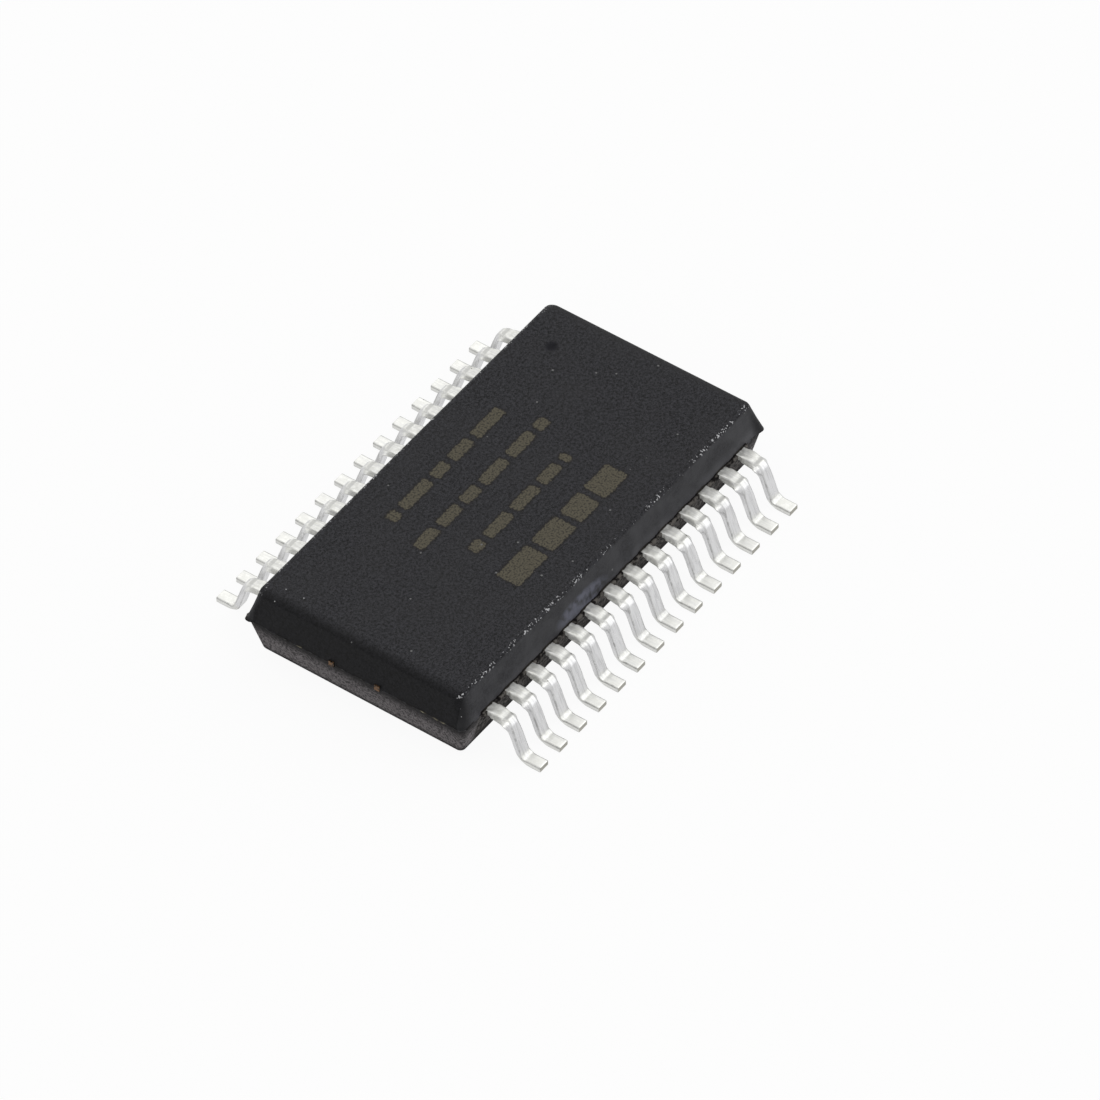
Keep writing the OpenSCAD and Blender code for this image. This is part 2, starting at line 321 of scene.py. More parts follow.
# %% [markdown]
# The mould lets its air out at two opposite corners. There the upper wall swells, and one corner keeps a scrap
# of resin. Both are pushes along the outward direction that fade away from the corner, so the outline stays one
# closed ring at every level. The heights then blend from the sides' list to the ends' list round each corner.

# %% Swollen corners, and the walls' final points
vent_long, vent_short = 0.24, 0.1
scrap_size, scrap_waver, scrap_spread = 0.035, 0.4, 0.7
swell_size, swell_fade = 0.06, 0.35
lip_wander = 0.012

from_end = body_length / 2 - abs(waist[:, 0])
from_side = body_width / 2 - abs(waist[:, 1])
opposite = waist[:, 0] * waist[:, 1] < 0
vent = np.exp(-(from_end / vent_long) ** 2 - (from_side / vent_short) ** 2) * opposite
scrap = vent * (waist[:, 0] < 0)
lip += scrap_size * scrap * (1 + scrap_waver * ragged(round_waist, [0.19, 0.11]))
swell = np.where(side_height < parting, lip_share, np.exp(-(side_height - parting) / swell_fade))
push = (lip_share[:, None] * lip + swell_size * swell[:, None] * vent)[..., None]
to_end = outward[0, :, 0] ** 2
wall_height = side_height[:, None] + (end_height - side_height)[:, None] * to_end
wall_height += lip_share[:, None] * lip_wander * ragged(round_waist, [0.71, 0.37, 0.21, 0.16])
wall_height[lip_levels] += lip_height[:, None] * scrap_spread * scrap
walls = np.concatenate([ring + push * outward, wall_height[..., None]], -1)
print("scrap stands out", round(float((lip * (scrap > 0.5)).max()), 4), "mm")

# %% [markdown]
# The flat top and bottom could each be one large face, but then nothing could be pressed into them. Here they fill
# their outline with a Coons patch: the sum of the two ways to join opposite sides, less the plain blend of the
# four corners. Its border uses the wall's own points, so that no seam opens.

# %% Grids of the top and the bottom
def cap_numbers(start, first):
    """Vertex numbers of a cap's grid: its border reuses an outline's from start, its inside counts from first."""
    numbers = np.zeros((columns + 1, rows + 1), int)
    numbers[:, 0] = np.arange(columns + 1)
    numbers[-1] = columns + np.arange(rows + 1)
    numbers[:, -1] = 2 * columns + rows - np.arange(columns + 1)
    numbers[0] = (2 * columns + 2 * rows - np.arange(rows + 1)) % (2 * columns + 2 * rows)
    numbers += start
    numbers[1:-1, 1:-1] = first + np.arange((columns - 1) * (rows - 1)).reshape(columns - 1, rows - 1)
    return numbers


def coons_patch(border):
    """Coons patch: lines from south to north, plus lines from west to east, less the blend of the four corners."""
    south, north = border[:columns + 1], border[columns + rows:2 * columns + rows + 1][::-1]
    east = border[columns:columns + rows + 1]
    west = np.roll(border, -1, 0)[2 * columns + rows - 1:][::-1]
    u = ((south[:, 0] - south[0, 0]) / (south[-1, 0] - south[0, 0]))[:, None, None]
    v = ((west[:, 1] - west[0, 1]) / (west[-1, 1] - west[0, 1]))[None, :, None]
    blend = (1 - u) * ((1 - v) * south[0] + v * north[0]) + u * ((1 - v) * south[-1] + v * north[-1])
    return (1 - v) * south[:, None] + v * north[:, None] + (1 - u) * west[None] + u * east[None] - blend


around = ring.shape[1]
inside = (columns - 1) * (rows - 1)
first_inside = level_count * around
wall_numbers = np.arange(first_inside).reshape(level_count, around)
under = cap_numbers(0, first_inside)
over = cap_numbers((level_count - 1) * around, first_inside + inside)
body_blocks = [grid_faces(closed_rows(wall_numbers)), grid_faces(under), grid_faces(over.T)]
print("faces of the walls, the bottom and the top", [len(block) for block in body_blocks])

# %% [markdown]
# A round pin in the mould presses the dimple. Near it, squares of the grid are bent into rings, so that its rim is
# a true circle, and a sphere presses the hollow. The marks then tell the finish where the upper edge, the chips
# and the loose scrap lie, which is surer than to find them again by their place.

# %% Dimple, and the body's points and marks
bent_half, bent_fade = 0.29, 0.12


def press_dimple(points):
    """Bends squares round the dimple into rings, then lowers them by the depth of a sphere's cap below its rim."""
    local = points[..., :2] - dimple
    square = abs(local).max(-1)
    share = np.clip((bent_half - square) / bent_fade, 0, 1)
    to_ring = square / np.maximum(np.hypot(*local.transpose(2, 0, 1)), 1e-9)
    bent = local * (1 + share * (to_ring - 1))[..., None]
    sphere = (dimple_radius ** 2 + dimple_depth ** 2) / (2 * dimple_depth)
    hollow = np.sqrt(np.maximum(sphere ** 2 - (bent ** 2).sum(-1), 0)) - (sphere - dimple_depth)
    return np.concatenate([dimple + bent, (points[..., 2] - np.maximum(hollow, 0))[..., None]], -1)


under_points = coons_patch(walls[0])[1:-1, 1:-1].reshape(-1, 3)
over_points = press_dimple(coons_patch(walls[-1]))[1:-1, 1:-1].reshape(-1, 3)
body_points = np.concatenate([walls.reshape(-1, 3), under_points, over_points])
wall_marks = {"edge": edge_mark[:, None], "chip": lip_share[:, None] * chips, "loose": lip_share[:, None] * scrap}
body_marks = {key: np.concatenate([np.broadcast_to(values, (level_count, around)).ravel(), np.zeros(2 * inside)])
              for key, values in wall_marks.items()}
print("body points", len(body_points), "dimple floor", round(float(over_points[:, 2].min()), 4))

# %% [markdown]
# Resin also runs out between the leads before the press shears it off, so a dark tab is left in each gap, next to
# the wall. Each tab is a blunt profile carried along the gap, and it sags a little in the middle. The tabs are one
# resin with the body, so they go into the same mesh.

# %% Tabs between the leads
pitch, lead_width, sheet = 0.65, 0.28, 0.127
row_leads = 14
tab_reach, tab_end, tab_root, tab_overlap = 0.08, 0.1, 0.06, 0.004
tab_nose, tab_half = 0.024, sheet / 2 - 0.003
tab_sag, tab_dent, tab_waver, tab_taper = 0.016, 0.006, 0.12, 0.9
tab_stations, nose_points = 25, 11


def tab(start, stop, side_y, fade):
    """A tab between two places along the wall: a slab's profile with a round nose, carried along the gap.

    Its reach wavers and, where fade is 1 or -1, shrinks to that end; its top sags as a parabola in the middle."""
    u = np.linspace(0, 1, tab_stations)[:, None]
    waver = np.clip(ragged((stop - start) * u[:, 0] + start, [0.23, 0.13, 0.08]), -1, 1)[:, None]
    taper = np.sqrt(1 - tab_taper * np.clip(fade * (2 * u - 1), 0, 1) ** 2)
    nose_out = tab_reach * (1 - tab_waver + tab_waver * waver) * taper
    turn = np.linspace(math.pi / 2, -math.pi / 2, nose_points)[None]
    sag = (tab_sag * (1 - (2 * u - 1) ** 2) + tab_dent * (1 - waver)) * (fade == 0)
    root = 0 * u - tab_root
    out = np.concatenate([root, nose_out - tab_nose + tab_nose * np.cos(turn), root], 1)
    nose_lift = np.sign(turn) * (tab_half - tab_nose) + tab_nose * np.sin(turn)
    lift = np.concatenate([tab_half - sag, nose_lift - sag * (turn > 0), 0 * u - tab_half], 1)
    rings = np.stack([start + (stop - start) * u + 0 * out, side_y * (body_width / 2 + out), parting + lift], -1)
    return rings if side_y < 0 else rings[::-1]


lead_x = ((row_leads - 1) / 2 - np.arange(row_leads)) * pitch
low_edge, high_edge = lead_x - lead_width / 2 + tab_overlap, lead_x + lead_width / 2 - tab_overlap
gaps = list(zip(high_edge[1:], low_edge[:-1], [0] * (row_leads - 1)))
gaps += [(high_edge[0], high_edge[0] + tab_end, 1), (low_edge[-1] - tab_end, low_edge[-1], -1)]
tab_marks = {"edge": 0.0, "chip": 0.0, "loose": 1.0}
tabs = [tube(tab(start, stop, side_y, fade), tab_marks) for side_y in (-1, 1) for start, stop, fade in gaps]
body_shell = join_shells([(body_points, body_blocks, body_marks)] + tabs)
body = make_piece("moulded_body", body_shell)
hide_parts("package_body")
print("body volume", round(volume(body), 2), "mm3, faces", len(body.data.polygons), "tabs", len(tabs))

# %% [markdown]
# ## The leads
# A lead is one strip of sheet metal. Its finger lies in the resin, its shoulder leaves the wall, and two equal
# bends bring its foot flat on the board. A solid swept with sharp edges would catch no light along them. Here a
# rectangle with small round edges is carried along the strip. The first job is the strip's line in side view.

# %% A lead's line from the wall: shoulder, two bends, leg and foot
bend_angle, bend_points = math.radians(71.5), 19
bend_radius = 0.11 + sheet / 2
wall_line, shoulder_end, leg_length, foot_length = 2.645, 3.085, 0.6745, 0.35
near_bend, toe_length = 0.012, 0.014


def gull_path():
    """Distances along a lead from its wall, closer where its section changes, and the slope angle at each.

    The slope is 0 along the shoulder, grows evenly through the first bend, keeps its value down the leg and falls
    evenly to 0 through the second bend."""
    flat = [0, 0.05, 0.1, 0.115, 0.125, 0.135, 0.15, 0.165, 0.175, 0.2, 0.24, 0.27, 0.3, 0.325, 0.345, 0.36,
            0.375, 0.39, 0.405, 0.418, 0.43]
    arc = bend_radius * bend_angle
    bend = np.linspace(0, arc, bend_points)
    leg = np.array([near_bend, 0.1, 0.25, 0.4, 0.55, leg_length - near_bend])
    foot = np.array([near_bend, 0.08, 0.16, 0.24, 0.3, foot_length - toe_length])
    first_bend = shoulder_end - wall_line
    second_bend = first_bend + arc + leg_length
    travel = np.concatenate([flat, first_bend + bend, first_bend + arc + leg, second_bend + bend,
                             second_bend + arc + foot])
    turns = [first_bend, first_bend + arc, second_bend, second_bend + arc]
    return travel, np.interp(travel, turns, [0, bend_angle, bend_angle, 0])


def along_slope(travel, slope):
    """Places out and up. On a straight a step is its length along the slope, and on an arc it is the exact chord."""
    middle, half_turn = (slope[1:] + slope[:-1]) / 2, np.diff(slope) / 2
    chord = np.diff(travel) * np.sinc(half_turn / math.pi)
    out = wall_line + np.concatenate([[0], np.cumsum(chord * np.cos(middle))])
    lift = parting - np.concatenate([[0], np.cumsum(chord * np.sin(middle))])
    return out, lift


lead_travel, lead_slope = gull_path()
lead_out, lead_lift = along_slope(lead_travel, lead_slope)
print("foot ends at", round(float(lead_out[-1]), 4), "mm out,", round(float(lead_lift[-1]), 4), "mm up")

# %% [markdown]
# Bending sheet metal widens the inner half of a bend and narrows the outer half, so the sides slant there. The
# punch that cut the dam bar away rolled the upper edges, one further than the other. Both vary along the strip,
# so each is a short table that is read at every station. Just before the upper bend the forming tool leaves a
# shallow dip across the strip, and that is a squared cosine.

# %% A lead's section at every station
slant_table = [(0.1, 0), (0.17, 0.14), (0.3, 0.2), (0.42, 0.26), (0.52, 0.42), (0.6, 0.42), (0.74, 0.1), (0.88, 0),
               (1.3, 0), (1.38, -0.16), (1.5, -0.16), (1.58, 0)]
roll_table = [(0.12, 0.02), (0.2, 0.034), (0.55, 0.034), (0.7, 0.026)]
wide_roll_table = [(0.12, 0.02), (0.2, 0.05), (0.42, 0.055), (0.52, 0.04), (0.7, 0.026)]
dip_place, dip_depth, dip_before, dip_after = 0.46, 0.022, 0.14, 0.07
low_round, corner_support = 0.02, 0.01
edge_share = np.tile([0, 0.5, 1, 1, 1, 0.5, 0], 4)


def by_distance(along, table):
    """Values at distances along the strip, read from a table of distance and value pairs by straight lines."""
    return np.interp(along, *np.array(table).T)


def rounded(reach, drop):
    """How far in and how far down the points of a corner lie, from the side face to the broad face.

    It is a quarter of an ellipse with a support point on both sides."""
    turn = np.linspace(0, math.pi / 2, 5)[None]
    inset = np.concatenate([0 * reach, reach * (1 - np.cos(turn)), reach + corner_support], 1)
    return inset, np.concatenate([drop + corner_support, drop * (1 - np.sin(turn)), 0 * drop], 1)


def section(along, half_width, half_sheet, longer):
    """Rounded rectangle for every station, going round clockwise as seen along the strip.

    The upper corner on the longer stub's side, or on the other where longer is -1, is rolled further in. The top
    sinks at the dip, gently towards the wall and steeply towards the bend. The width is scaled by one less the
    slant times the height's share of the half sheet."""
    slant, roll_in, wide_in = (by_distance(along, table)[:, None]
                               for table in (slant_table, roll_table, wide_roll_table))
    from_dip = (along - dip_place) / np.where(along < dip_place, dip_before, dip_after)
    dip = dip_depth * np.cos(np.clip(from_dip, -1, 1) * math.pi / 2)[:, None] ** 2
    left_in, left_down = rounded(wide_in if longer > 0 else roll_in, roll_in)
    right_in, right_down = rounded(roll_in if longer > 0 else wide_in, roll_in)
    low_in, low_up = rounded(0 * roll_in + low_round, 0 * roll_in + low_round)
    w, n = half_width[:, None], half_sheet[:, None]
    across = np.concatenate([-w + left_in, (w - right_in)[:, ::-1], w - low_in, (-w + low_in)[:, ::-1]], 1)
    high = np.concatenate([n - dip - left_down, (n - dip - right_down)[:, ::-1], -n + low_up,
                           (-n + low_up)[:, ::-1]], 1)
    return across * (1 - slant * high / n), high


print("points round a section", len(edge_share))

# %% [markdown]
# Inside the resin each lead narrows to a finger that reaches for the die, so the fingers near the middle run
# straight and those at the ends slant. Only a quarter of them differ. The others are the same shapes mirrored
# or turned, which is how a lead frame is drawn.

# %% A lead's finger
root_line, half_finger = 2.295, 0.1
tip_line, tip_pitch, land, middle_fingers = 1.5, 0.47, 0.3, 4
end_tip, end_pitch = 2.2, 0.3125


def finger_line(rank):
    """Finger in the flat: tip, end of its land and root, with the sideways direction at each.

    At a corner it is the sum of both straights' sideways directions, lengthened so that the width stays."""
    at_end = rank >= middle_fingers
    from_corner = rank - middle_fingers
    tip = [end_tip, tip_line - from_corner * end_pitch] if at_end else [(rank + 0.5) * tip_pitch, tip_line]
    land_step = [(from_corner + 1) * land, 0] if at_end else [0, land]
    root = np.array([(rank + 0.5) * pitch, root_line])
    path = np.stack([tip, np.add(tip, land_step), root, root + [0, wall_line - root_line]])
    heading = np.diff(path, axis=0)
    heading /= np.linalg.norm(heading, axis=1)[:, None]
    sideways = np.stack([heading[:, 1], -heading[:, 0]], 1)
    before, after = sideways[[0, 0, 1]], sideways[[0, 1, 2]]
    mitre = before + after
    mitre /= np.linalg.norm(mitre, axis=1)[:, None]
    return path[:3], mitre / (mitre * before).sum(1)[:, None]


tips = np.array([finger_line(rank)[0][0] for rank in range(row_leads // 2)])
print("fingertips of a quarter, in mm", np.round(tips, 2).tolist())

# %% [markdown]
# Now the section is carried along the finger and down the gull wing. A curve with a bevel profile would do it too,
# but it can't change the profile's width on the way. The dam bar's stubs widen the strip beside the shoulder, the
# last stations shrink to a rounded toe, and the marks keep each point's distance along and its side of the sheet.

# %% The strip that carries the section
stub_table = [(0.12, 0), (0.17, 0.03), (0.3, 0.03), (0.42, 0.02), (0.6, 0.016), (0.75, 0)]
offset_table = [(0.12, 0), (0.17, 0.018), (0.28, 0.018), (0.4, 0)]
toe_steps, toe_shrink = [0.009, 0.0127, 0.0139, 0.0139], [0.004, 0.0085, 0.013, 0.03]
tip_shrink, sole_gap, root_step = 0.025, 0.0002, 0.003
cut_share = [0.6, 1, 1]


def lead_strip(rank, longer):
    """Shell of a lead in the first quarter: rounded sections at stations from the fingertip to the cut toe.

    A point is its station's centre, plus its place across times the sideways direction, plus its height times
    the strip's upright direction. The dam bar was cut off centre, so the stub on one side, 1 or -1, is longer."""
    path, mitre = finger_line(rank)
    x = (rank + 0.5) * pitch
    inner = np.concatenate([path[:1], path, [[x, root_line + root_step]]])
    inner_side = np.concatenate([mitre[:1], mitre, [[1, 0]]])
    outer, toe = len(lead_out) + len(toe_steps), np.array(toe_steps)
    shrink = np.concatenate([[tip_shrink], np.zeros(len(inner) - 1 + len(lead_out)), toe_shrink])
    y = np.concatenate([inner[:, 1], lead_out, lead_out[-1] + toe])
    z = np.concatenate([np.full(len(inner), parting), lead_lift, np.full(len(toe), lead_lift[-1])])
    tilt = np.concatenate([np.zeros(len(inner)), lead_slope, np.zeros(len(toe))])
    along = np.concatenate([inner[:, 1] - wall_line, lead_travel, lead_travel[-1] + toe])
    half = np.concatenate([np.full(len(inner) - 1, half_finger), np.full(outer + 1, lead_width / 2)])
    half = half + by_distance(along, stub_table) - shrink
    across, high = section(along, half, sheet / 2 - sole_gap - shrink, longer)
    across = across + longer * by_distance(along, offset_table)[:, None]
    side_x = np.concatenate([inner_side[:, 0], np.ones(outer)])[:, None]
    side_y = np.concatenate([inner_side[:, 1], np.zeros(outer)])[:, None]
    centre_x = np.concatenate([inner[:, 0], np.full(outer, x)])[:, None]
    rings = np.stack([centre_x + across * side_x,
                      y[:, None] + across * side_y + high * np.sin(tilt)[:, None],
                      z[:, None] + high * np.cos(tilt)[:, None]], -1)
    cut = np.concatenate([np.zeros(len(y) - len(cut_share)), cut_share])
    return tube(rings, {"along": along[:, None], "sheet_side": high / (sheet / 2), "edge": edge_share[None],
                        "cut": cut[:, None]})


print("points of a lead", len(lead_strip(0, 1)[0]))

# %% [markdown]
# Leads are counted down one side and up the other, so the second row is the first one turned by half a turn. A
# mirrored strip has its faces inside out, and so their order is turned round. Instances of one mesh would be
# smaller, but each lead stands for a solid of its own and has to be a piece of its own.

# %% All the leads
leads = []
for number in range(1, 2 * row_leads + 1):
    order = (number - 1) % row_leads
    turned = -1 if number > row_leads else 1
    mirrored = 1 if order < row_leads / 2 else -1
    points, blocks, marks = lead_strip(int(abs(order - (row_leads - 1) / 2)), turned * mirrored)
    points = points * [turned * mirrored, turned, 1]
    blocks = blocks if mirrored > 0 else [block[:, ::-1] for block in blocks]
    lead = make_piece(f"plated_lead_{number:02d}", (points, blocks, marks))
    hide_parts(f"lead_{number:02d}")
    leads.append(lead)
solid_box = np.array(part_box("lead_01")) / MM
lead_corners = np.array(leads[0].bound_box) / MM
print("lead 1 solid", np.round(solid_box, 3).tolist())
print("lead 1 piece", np.round([lead_corners.min(0), lead_corners.max(0)], 3).tolist(),
      "volume", round(volume(leads[0]), 4))

# %% [markdown]
# ## Finishes
# Every finish is a small tree of nodes on one Principled shader. It could be wired by hand in the shader editor,
# but a script shows each step in its order. Three short classes, each built on the one before, keep the calls
# readable. The first adds nodes and does arithmetic with them.

# %% Nodes and their arithmetic
class Nodes:
    """Short calls that add nodes to a tree. A value is either a socket, which is linked, or a plain number."""

    def __init__(self, tree):
        self.tree = tree

    def add(self, kind, **settings):
        """New node of a kind, with its settings."""
        node = self.tree.nodes.new(kind)
        for key, value in settings.items():
            setattr(node, key, value)
        return node

    def put(self, socket, value):
        """Links a socket to another, or sets it to a plain value."""
        if isinstance(value, bpy.types.NodeSocket):
            self.tree.links.new(value, socket)
        else:
            socket.default_value = value

    def math(self, operation, a, b=0.0):
        """One Math node."""
        node = self.add("ShaderNodeMath", operation=operation)
        self.put(node.inputs[0], a)
        self.put(node.inputs[1], b)
        return node.outputs[0]

    def plus(self, a, b):
        """Sum of two numbers."""
        return self.math("ADD", a, b)

    def minus(self, a, b):
        """One number less another."""
        return self.math("SUBTRACT", a, b)

    def times(self, first, *others):
        """Product of numbers."""
        for other in others:
            first = self.math("MULTIPLY", first, other)
        return first

    def off(self, value, centre=0.0):
        """How far a number lies from a centre, either way."""
        return self.math("ABSOLUTE", self.minus(value, centre))

    def ramp(self, value, low, high, start=0.0, stop=1.0):
        """Smooth step of a value: start up to low, stop from high on."""
        node = self.add("ShaderNodeMapRange", interpolation_type="SMOOTHSTEP")
        for socket, number in zip(node.inputs, (value, low, high, start, stop)):
            self.put(socket, number)
        return node.outputs[0]


print("arithmetic of nodes ready")

# %% [markdown]
# The second class is a material. Its patterns read Object coordinates scaled to millimetres, so that a grain has a
# real size and stays on its piece, or a mark kept at the mesh's points. Values that are the same all over are set
# on the shader's own sockets, because an export keeps those.

# %% A material and its coordinates
class Coat(Nodes):
    """A material with one Principled shader, its constants, and its coordinates in millimetres."""

    def __init__(self, name, **constants):
        self.material = bpy.data.materials.new(name)
        self.material.use_nodes = True
        super().__init__(self.material.node_tree)
        self.tree.nodes.clear()
        self.shader = self.add("ShaderNodeBsdfPrincipled")
        self.end = self.add("ShaderNodeOutputMaterial")
        self.put(self.end.inputs["Surface"], self.shader.outputs["BSDF"])
        self.surface(**constants)
        scale = self.add("ShaderNodeMapping")
        scale.inputs["Scale"].default_value = (1 / MM, 1 / MM, 1 / MM)
        self.put(scale.inputs["Vector"], self.add("ShaderNodeTexCoord").outputs["Object"])
        self.mm = scale.outputs["Vector"]
        parts = self.add("ShaderNodeSeparateXYZ")
        self.put(parts.inputs[0], self.mm)
        self.x, self.y, self.z = parts.outputs

    def surface(self, **sockets):
        """Sets or links the shader's sockets by name."""
        for key, value in sockets.items():
            self.put(self.shader.inputs[key.replace("_", " ")], value)

    def mark(self, name):
        """A number that the mesh keeps at its points."""
        return self.add("ShaderNodeAttribute", attribute_name=name).outputs["Fac"]

    def distance_to(self, spot):
        """Distance from a spot, in millimetres."""
        node = self.add("ShaderNodeVectorMath", operation="DISTANCE")
        self.put(node.inputs[0], self.mm)
        self.put(node.inputs[1], spot)
        return node.outputs["Value"]


print("material ready")

# %% [markdown]
# The third class adds what the finishes of this chip share: noise, scattered specks, blends of colour and fine
# relief. Image textures could hold the same, but they need files and look soft close up.

# %% A finish: patterns, blends and relief
class Finish(Coat):
    """A material with the patterns that wear, grain and dirt are made of."""

    def noise(self, scale, detail=2.0, vector=None):
        """Noise between about 0.3 and 0.7, with so many waves in a millimetre."""
        node = self.add("ShaderNodeTexNoise")
        self.put(node.inputs["Vector"], vector or self.mm)
        self.put(node.inputs["Scale"], scale)
        self.put(node.inputs["Detail"], detail)
        return node.outputs["Fac"]

    def dot(self, distance, size):
        """1 in the core of a round spot, falling to 0 at its size."""
        return self.ramp(distance, 0.6 * size, size, 1.0, 0.0)

    def specks(self, scale, size, kept):
        """Spots of a size in some cells of a scatter: near a cell's point, where its random red is over kept."""
        node = self.add("ShaderNodeTexVoronoi")
        self.put(node.inputs["Vector"], self.mm)
        self.put(node.inputs["Scale"], scale)
        red = self.add("ShaderNodeSeparateColor")
        self.put(red.inputs[0], node.outputs["Color"])
        chosen = self.math("GREATER_THAN", red.outputs[0], kept)
        return self.times(self.dot(node.outputs["Distance"], size * scale), chosen)

    def mix(self, share, a, b):
        """Blend of two colours by a share."""
        node = self.add("ShaderNodeMix", data_type="RGBA")
        self.put(node.inputs["Factor"], share)
        self.put(node.inputs["A"], a)
        self.put(node.inputs["B"], b)
        return node.outputs["Result"]

    def relief(self, height, depth, under=None):
        """Bump of a height between 0 and 1, so many millimetres deep, over an earlier one."""
        node = self.add("ShaderNodeBump")
        self.put(node.inputs["Strength"], 1.0)
        self.put(node.inputs["Distance"], depth * MM)
        self.put(node.inputs["Height"], height)
        if under:
            self.put(node.inputs["Normal"], under)
        return node.outputs["Normal"]


def colour(red, green, blue):
    """A colour with full cover."""
    return (red, green, blue, 1)


def grey(value, red=1.0, green=1.0, blue=1.0):
    """A colour from one level and a tint."""
    return colour(value * red, value * green, value * blue)


print("finishes ready")

# %% [markdown]
# ### Resin
# The resin is epoxy filled with fine silica and carbon black. A spark-eroded mould leaves it matt with a fine
# grain, which is two noises added up. The long walls are painted a lighter, bluish grey, lightest just above the
# parting line, as painted light, and the end walls are painted dark, as painted shade, from where their soft upper
# edge begins. Each later cell lays one more tone over this one.

# %% Resin: grain, and walls with painted light and shade
resin = Finish("moulding_compound", Specular_IOR_Level=0.1)
dark_grain, pale_grain = grey(0.002, 1, 1, 1.1), grey(0.043, 0.99, 0.99, 1.12)
cloud_grey, black = grey(0.032, 1.0, 0.98, 1.0), grey(0.0)
wall_low, wall_high = grey(0.105, 0.98, 0.98, 1.05), grey(0.06, 0.98, 0.98, 1.05)

grain = resin.plus(resin.times(resin.noise(60, 2), 0.6), resin.times(resin.noise(17, 3), 0.4))
tone = resin.mix(resin.ramp(grain, 0.38, 0.62), dark_grain, pale_grain)
tone = resin.mix(resin.ramp(resin.noise(0.7, 2), 0.4, 0.62, 0.0, 0.15), tone, cloud_grey)
off_x, off_y = resin.off(resin.x), resin.off(resin.y)
side_wall = resin.ramp(off_y, 2.475, 2.505)
end_wall = resin.ramp(off_x, 4.64, 4.9)
above_lip = resin.ramp(resin.z, parting - 0.01, parting + 0.02)
# Painted light: the long walls are lighter and bluish, lightest just above the parting line.
painted_wall_light = resin.mix(resin.ramp(resin.z, 0.98, 1.25), wall_low, wall_high)
uneven = resin.ramp(resin.noise(2.2, 3), 0.3, 0.7, 0.35, 0.85)
tone = resin.mix(resin.times(side_wall, uneven), tone, painted_wall_light)
# Painted shade: the end walls above the lip are darkened towards black.
tone = resin.mix(resin.times(end_wall, above_lip, 0.68), tone, black)
print("resin nodes", len(resin.tree.nodes))

# %% [markdown]
# A laser etches plain bars in four rows on the top, paler and browner than the skin, with a thin scorched rim.
# An image would need a file, so the bars come from numbers: a scatter along each row cuts it into cells, and the
# distance from a rounded bar in each cell gives both the bar and its rim. A little noise makes the rim uneven.

# %% Resin: etched bars
bar_gap, bar_corner, bar_uneven = 0.08, 0.06, 0.12
bar_rows = [(1.49, 0.13, 1.85, 0.85, 3.1), (0.6, 0.13, 2.15, 0.8, 9.4), (-0.34, 0.13, 1.6, 0.9, 17.2),
            (-1.38, 0.27, 1.85, 1.0, 25.7)]
scorched_brown, etched_brown = colour(0.008, 0.006, 0.005), colour(0.105, 0.095, 0.07)


def etched_row(row, half_height, half_length, cell, shift):
    """Distance from a row of bars: cells of a scatter along the row, inset by a gap, with rounded corners."""
    scatter = resin.add("ShaderNodeTexVoronoi", voronoi_dimensions="1D", feature="DISTANCE_TO_EDGE")
    resin.put(scatter.inputs["W"], resin.plus(resin.x, shift))
    resin.put(scatter.inputs["Scale"], 1 / cell)
    resin.put(scatter.inputs["Randomness"], 0.7)
    from_gap = resin.minus(bar_gap, resin.times(scatter.outputs["Distance"], cell))
    from_x = resin.math("MAXIMUM", from_gap, resin.minus(off_x, half_length))
    from_y = resin.minus(resin.off(resin.y, row), half_height)
    round_x = resin.math("MAXIMUM", resin.plus(from_x, bar_corner), 0)
    round_y = resin.math("MAXIMUM", resin.plus(from_y, bar_corner), 0)
    squares = resin.plus(resin.times(round_x, round_x), resin.times(round_y, round_y))
    return resin.minus(resin.math("SQRT", squares), bar_corner)


from_bars = 1.0
for bar_row in bar_rows:
    from_bars = resin.math("MINIMUM", from_bars, etched_row(*bar_row))
from_bars = resin.plus(from_bars, resin.times(resin.minus(resin.noise(16, 3), 0.5), bar_uneven))
flat_top = resin.math("GREATER_THAN", resin.z, body_top - 0.02)
scorched = resin.times(resin.ramp(from_bars, 0.015, 0.06, 0.6, 0.0), flat_top)
etched = resin.times(resin.ramp(from_bars, -0.015, 0.015, 1.0, 0.0), flat_top,
                     resin.ramp(resin.noise(24, 4), 0.36, 0.56, 0.3, 1.0))
tone = resin.mix(scorched, tone, scorched_brown)
tone = resin.mix(etched, tone, etched_brown)
print("resin nodes", len(resin.tree.nodes))

# %% [markdown]
# Painted glints stand for highlights along the long upper edges and at a few spots near the near corners, and
# pale specks of filler lie on the top. The glint line is a noise that is cut off high, and a slower noise moves
# the cut, so that some stretches keep more glints than others. The floor of the dimple is painted darker, as
# painted shade.

# %% Resin: painted shade in the dimple, painted glints, specks
dimple_shade, glint_grey = grey(0.003, 1, 1, 1.8), grey(0.55, 1, 1, 1.03)
speck_grey, corner_glint_grey = grey(0.16), grey(0.4, 1, 1, 1.02)
glint_spots = [((-4.86, -2.43, 1.66), 0.035), ((-4.93, -2.5, 1.42), 0.02), ((-4.96, -2.54, 1.25), 0.016),
              ((-4.88, 2.06, 1.64), 0.02), ((-4.54, 2.04, 1.71), 0.016), ((-4.53, 1.61, 1.71), 0.018)]

